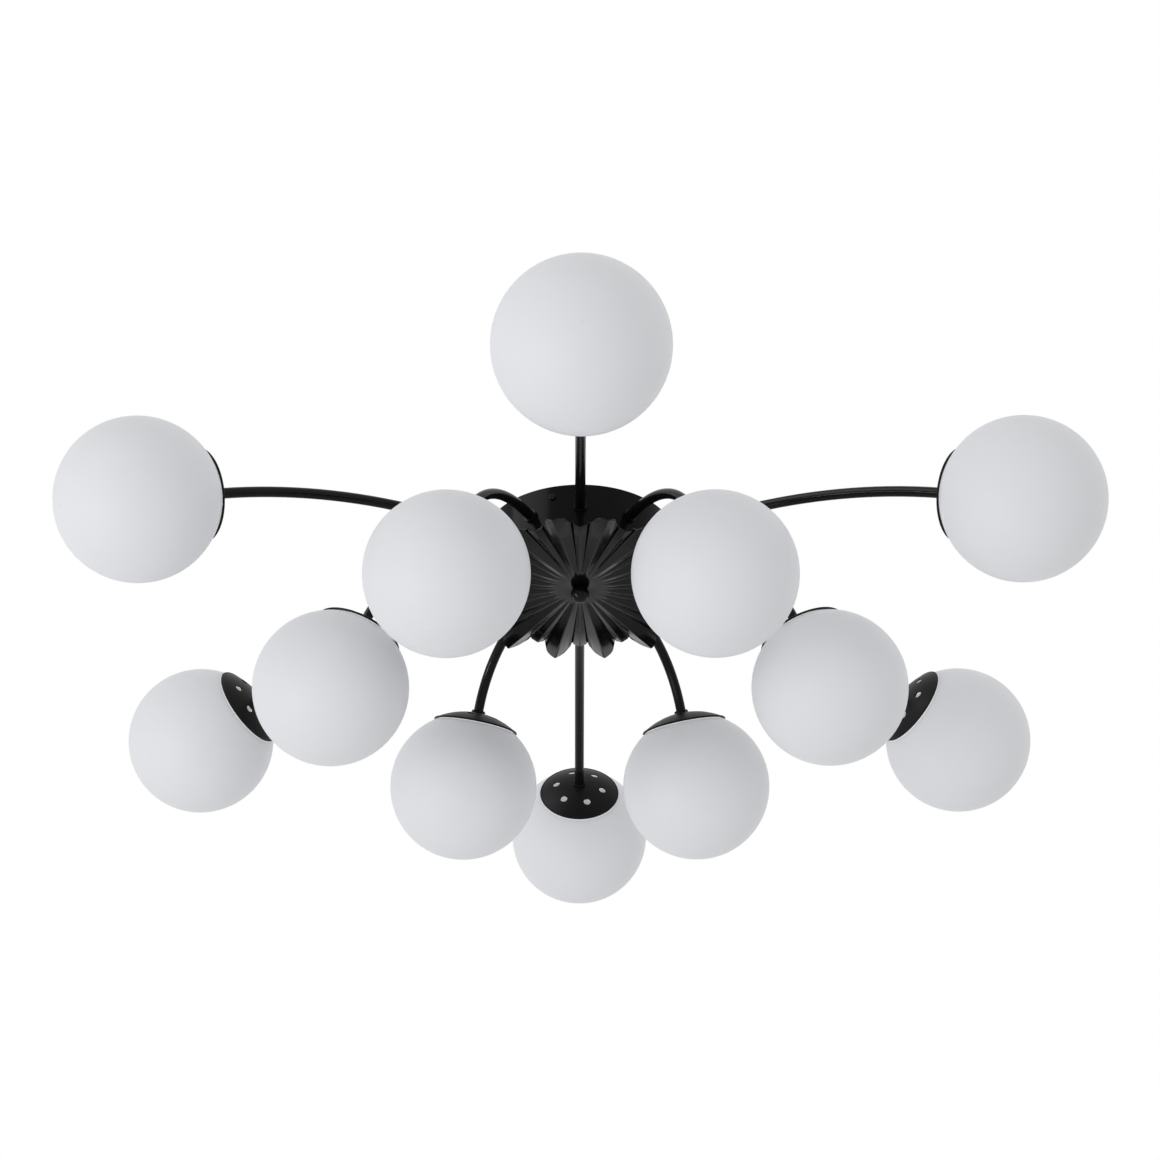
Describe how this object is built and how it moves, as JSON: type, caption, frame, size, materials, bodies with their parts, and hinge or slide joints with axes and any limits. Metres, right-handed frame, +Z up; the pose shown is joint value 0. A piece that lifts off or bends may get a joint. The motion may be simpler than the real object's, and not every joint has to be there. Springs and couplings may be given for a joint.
{
  "type": "bubble chandelier",
  "caption": "Flush ceiling chandelier: a cup canopy with a fluted flower shell and ball finial, and bent arms in an inner and an outer ring with opal globes under dome caps.",
  "frame": {"origin": "middle of the canopy's rim, on the ceiling plane", "axes": "+Z up into the ceiling; -Y towards the arm that the picture shows nearest"},
  "size_m": [0.9428, 1.0654, 0.2461],
  "materials": {
    "black_metal": "satin black paint",
    "black_gloss": "glossy black paint",
    "opal_glass": "satin opal white glass",
    "bulb_white": "white diffuser",
    "plated_steel": "zinc plated",
    "white_plastic": "matte"
  },
  "bodies": {
    "frame": {"canopy": "black_metal", "crossbar": "plated_steel", "canopy_screws": "black_metal", "terminal_block": "white_plastic", "fluted_shell": "black_gloss", "shell_spacer": "plated_steel", "centre_bolt": "plated_steel", "arm_lock_nuts": "plated_steel", "cap_nuts": "black_metal", "galleries": "plated_steel", "lampholders": "white_plastic", "outer_arm_1": "black_metal", "outer_arm_2": "black_metal", "outer_arm_3": "black_metal", "outer_arm_4": "black_metal", "outer_arm_5": "black_metal", "outer_arm_6": "black_metal", "inner_arm_1": "black_metal", "inner_arm_2": "black_metal", "inner_arm_3": "black_metal", "inner_arm_4": "black_metal", "inner_arm_5": "black_metal", "inner_arm_6": "black_metal", "outer_cap_1": "black_metal", "outer_cap_2": "black_metal", "outer_cap_3": "black_metal", "outer_cap_4": "black_metal", "outer_cap_5": "black_metal", "outer_cap_6": "black_metal", "inner_cap_1": "black_metal", "inner_cap_2": "black_metal", "inner_cap_3": "black_metal", "inner_cap_4": "black_metal", "inner_cap_5": "black_metal", "inner_cap_6": "black_metal"},
    "finial": {"finial": "black_gloss"},
    "outer_globe_1": {"outer_globe_1": "opal_glass"},
    "outer_bulb_1": {"outer_bulb_1": "bulb_white"},
    "outer_globe_2": {"outer_globe_2": "opal_glass"},
    "outer_bulb_2": {"outer_bulb_2": "bulb_white"},
    "outer_globe_3": {"outer_globe_3": "opal_glass"},
    "outer_bulb_3": {"outer_bulb_3": "bulb_white"},
    "outer_globe_4": {"outer_globe_4": "opal_glass"},
    "outer_bulb_4": {"outer_bulb_4": "bulb_white"},
    "outer_globe_5": {"outer_globe_5": "opal_glass"},
    "outer_bulb_5": {"outer_bulb_5": "bulb_white"},
    "outer_globe_6": {"outer_globe_6": "opal_glass"},
    "outer_bulb_6": {"outer_bulb_6": "bulb_white"},
    "inner_globe_1": {"inner_globe_1": "opal_glass"},
    "inner_bulb_1": {"inner_bulb_1": "bulb_white"},
    "inner_globe_2": {"inner_globe_2": "opal_glass"},
    "inner_bulb_2": {"inner_bulb_2": "bulb_white"},
    "inner_globe_3": {"inner_globe_3": "opal_glass"},
    "inner_bulb_3": {"inner_bulb_3": "bulb_white"},
    "inner_globe_4": {"inner_globe_4": "opal_glass"},
    "inner_bulb_4": {"inner_bulb_4": "bulb_white"},
    "inner_globe_5": {"inner_globe_5": "opal_glass"},
    "inner_bulb_5": {"inner_bulb_5": "bulb_white"},
    "inner_globe_6": {"inner_globe_6": "opal_glass"},
    "inner_bulb_6": {"inner_bulb_6": "bulb_white"}
  },
  "joints": [
    {"name": "finial_turn", "type": "hinge", "parent": "frame", "child": "finial", "pos_m": [0, 0, -0.0663], "axis": [0, 0, -1], "range_deg": [0, 360]},
    {"name": "outer_globe_1_turn", "type": "hinge", "parent": "frame", "child": "outer_globe_1", "pos_m": [0, -0.45772, -0.10603], "axis": [0, -0.9239, -0.3827], "range_deg": [0, 60]},
    {"name": "outer_bulb_1_turn", "type": "hinge", "parent": "frame", "child": "outer_bulb_1", "pos_m": [0, -0.45772, -0.10603], "axis": [0, -0.9239, -0.3827], "range_deg": [0, 360]},
    {"name": "outer_globe_2_turn", "type": "hinge", "parent": "frame", "child": "outer_globe_2", "pos_m": [0.3964, -0.22886, -0.10603], "axis": [0.8001, -0.4619, -0.3827], "range_deg": [0, 60]},
    {"name": "outer_bulb_2_turn", "type": "hinge", "parent": "frame", "child": "outer_bulb_2", "pos_m": [0.3964, -0.22886, -0.10603], "axis": [0.8001, -0.4619, -0.3827], "range_deg": [0, 360]},
    {"name": "outer_globe_3_turn", "type": "hinge", "parent": "frame", "child": "outer_globe_3", "pos_m": [0.3964, 0.22886, -0.10603], "axis": [0.8001, 0.4619, -0.3827], "range_deg": [0, 60]},
    {"name": "outer_bulb_3_turn", "type": "hinge", "parent": "frame", "child": "outer_bulb_3", "pos_m": [0.3964, 0.22886, -0.10603], "axis": [0.8001, 0.4619, -0.3827], "range_deg": [0, 360]},
    {"name": "outer_globe_4_turn", "type": "hinge", "parent": "frame", "child": "outer_globe_4", "pos_m": [0, 0.45772, -0.10603], "axis": [0, 0.9239, -0.3827], "range_deg": [0, 60]},
    {"name": "outer_bulb_4_turn", "type": "hinge", "parent": "frame", "child": "outer_bulb_4", "pos_m": [0, 0.45772, -0.10603], "axis": [0, 0.9239, -0.3827], "range_deg": [0, 360]},
    {"name": "outer_globe_5_turn", "type": "hinge", "parent": "frame", "child": "outer_globe_5", "pos_m": [-0.3964, 0.22886, -0.10603], "axis": [-0.8001, 0.4619, -0.3827], "range_deg": [0, 60]},
    {"name": "outer_bulb_5_turn", "type": "hinge", "parent": "frame", "child": "outer_bulb_5", "pos_m": [-0.3964, 0.22886, -0.10603], "axis": [-0.8001, 0.4619, -0.3827], "range_deg": [0, 360]},
    {"name": "outer_globe_6_turn", "type": "hinge", "parent": "frame", "child": "outer_globe_6", "pos_m": [-0.3964, -0.22886, -0.10603], "axis": [-0.8001, -0.4619, -0.3827], "range_deg": [0, 60]},
    {"name": "outer_bulb_6_turn", "type": "hinge", "parent": "frame", "child": "outer_bulb_6", "pos_m": [-0.3964, -0.22886, -0.10603], "axis": [-0.8001, -0.4619, -0.3827], "range_deg": [0, 360]},
    {"name": "inner_globe_1_turn", "type": "hinge", "parent": "frame", "child": "inner_globe_1", "pos_m": [0.11956, -0.20708, -0.1711], "axis": [0.1873, -0.3244, -0.9272], "range_deg": [0, 60]},
    {"name": "inner_bulb_1_turn", "type": "hinge", "parent": "frame", "child": "inner_bulb_1", "pos_m": [0.11956, -0.20708, -0.1711], "axis": [0.1873, -0.3244, -0.9272], "range_deg": [0, 360]},
    {"name": "inner_globe_2_turn", "type": "hinge", "parent": "frame", "child": "inner_globe_2", "pos_m": [0.23911, 0, -0.1711], "axis": [0.3746, 0, -0.9272], "range_deg": [0, 60]},
    {"name": "inner_bulb_2_turn", "type": "hinge", "parent": "frame", "child": "inner_bulb_2", "pos_m": [0.23911, 0, -0.1711], "axis": [0.3746, 0, -0.9272], "range_deg": [0, 360]},
    {"name": "inner_globe_3_turn", "type": "hinge", "parent": "frame", "child": "inner_globe_3", "pos_m": [0.11956, 0.20708, -0.1711], "axis": [0.1873, 0.3244, -0.9272], "range_deg": [0, 60]},
    {"name": "inner_bulb_3_turn", "type": "hinge", "parent": "frame", "child": "inner_bulb_3", "pos_m": [0.11956, 0.20708, -0.1711], "axis": [0.1873, 0.3244, -0.9272], "range_deg": [0, 360]},
    {"name": "inner_globe_4_turn", "type": "hinge", "parent": "frame", "child": "inner_globe_4", "pos_m": [-0.11956, 0.20708, -0.1711], "axis": [-0.1873, 0.3244, -0.9272], "range_deg": [0, 60]},
    {"name": "inner_bulb_4_turn", "type": "hinge", "parent": "frame", "child": "inner_bulb_4", "pos_m": [-0.11956, 0.20708, -0.1711], "axis": [-0.1873, 0.3244, -0.9272], "range_deg": [0, 360]},
    {"name": "inner_globe_5_turn", "type": "hinge", "parent": "frame", "child": "inner_globe_5", "pos_m": [-0.23911, 0, -0.1711], "axis": [-0.3746, 0, -0.9272], "range_deg": [0, 60]},
    {"name": "inner_bulb_5_turn", "type": "hinge", "parent": "frame", "child": "inner_bulb_5", "pos_m": [-0.23911, 0, -0.1711], "axis": [-0.3746, 0, -0.9272], "range_deg": [0, 360]},
    {"name": "inner_globe_6_turn", "type": "hinge", "parent": "frame", "child": "inner_globe_6", "pos_m": [-0.11956, -0.20708, -0.1711], "axis": [-0.1873, -0.3244, -0.9272], "range_deg": [0, 60]},
    {"name": "inner_bulb_6_turn", "type": "hinge", "parent": "frame", "child": "inner_bulb_6", "pos_m": [-0.11956, -0.20708, -0.1711], "axis": [-0.1873, -0.3244, -0.9272], "range_deg": [0, 360]}
  ]
}
